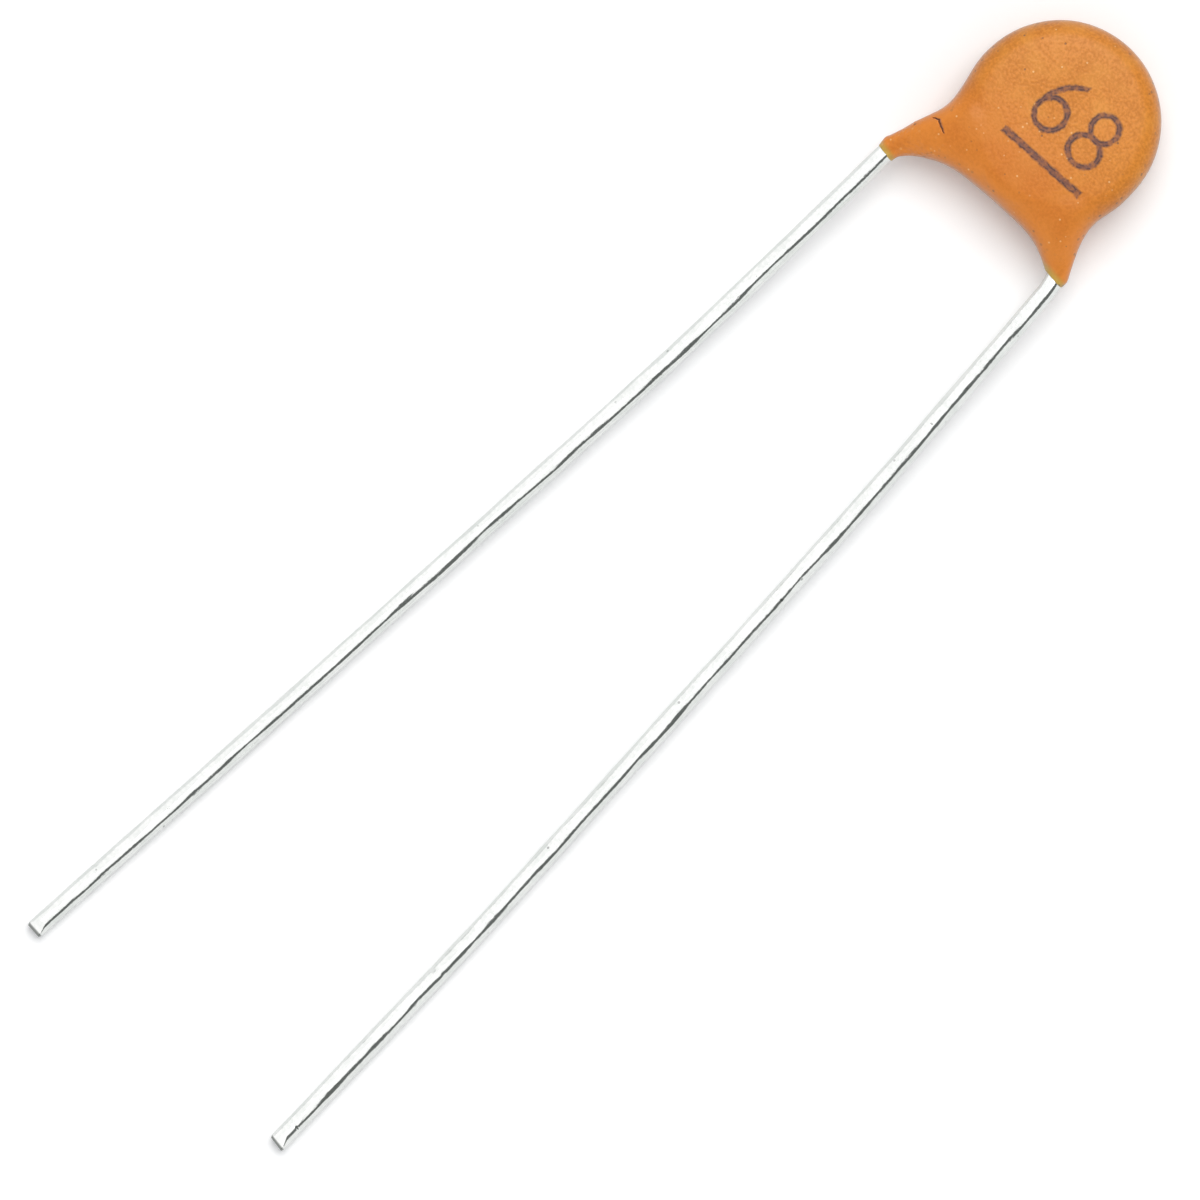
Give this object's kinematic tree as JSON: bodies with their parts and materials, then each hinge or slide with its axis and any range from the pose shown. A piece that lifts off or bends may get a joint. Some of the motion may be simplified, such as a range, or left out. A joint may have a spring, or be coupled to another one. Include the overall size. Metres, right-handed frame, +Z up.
{
  "type": "disc ceramic capacitor",
  "caption": "Disc ceramic capacitor with a round, resin-dipped body and slightly splayed tinned wire leads, lying flat.",
  "frame": {"origin": "middle of the footprint, on the surface that the part lies on", "axes": "+Y from the lead tips to the disc, +X from the front lead to the rear lead, +Z up from the resting face"},
  "size_m": [0.0086, 0.035, 0.0022],
  "materials": {
    "resin": "dipped resin, satin, finely speckled",
    "ceramic": "fired, matt",
    "silver": "fired silver, matt",
    "solder": "soft solder, satin",
    "tinned_wire": "bright tin"
  },
  "bodies": {
    "root": {"coating": "resin", "ceramic_disc": "ceramic", "front_electrode": "silver", "rear_electrode": "silver", "front_solder": "solder", "rear_solder": "solder", "front_lead": "tinned_wire", "rear_lead": "tinned_wire"}
  },
  "joints": []
}
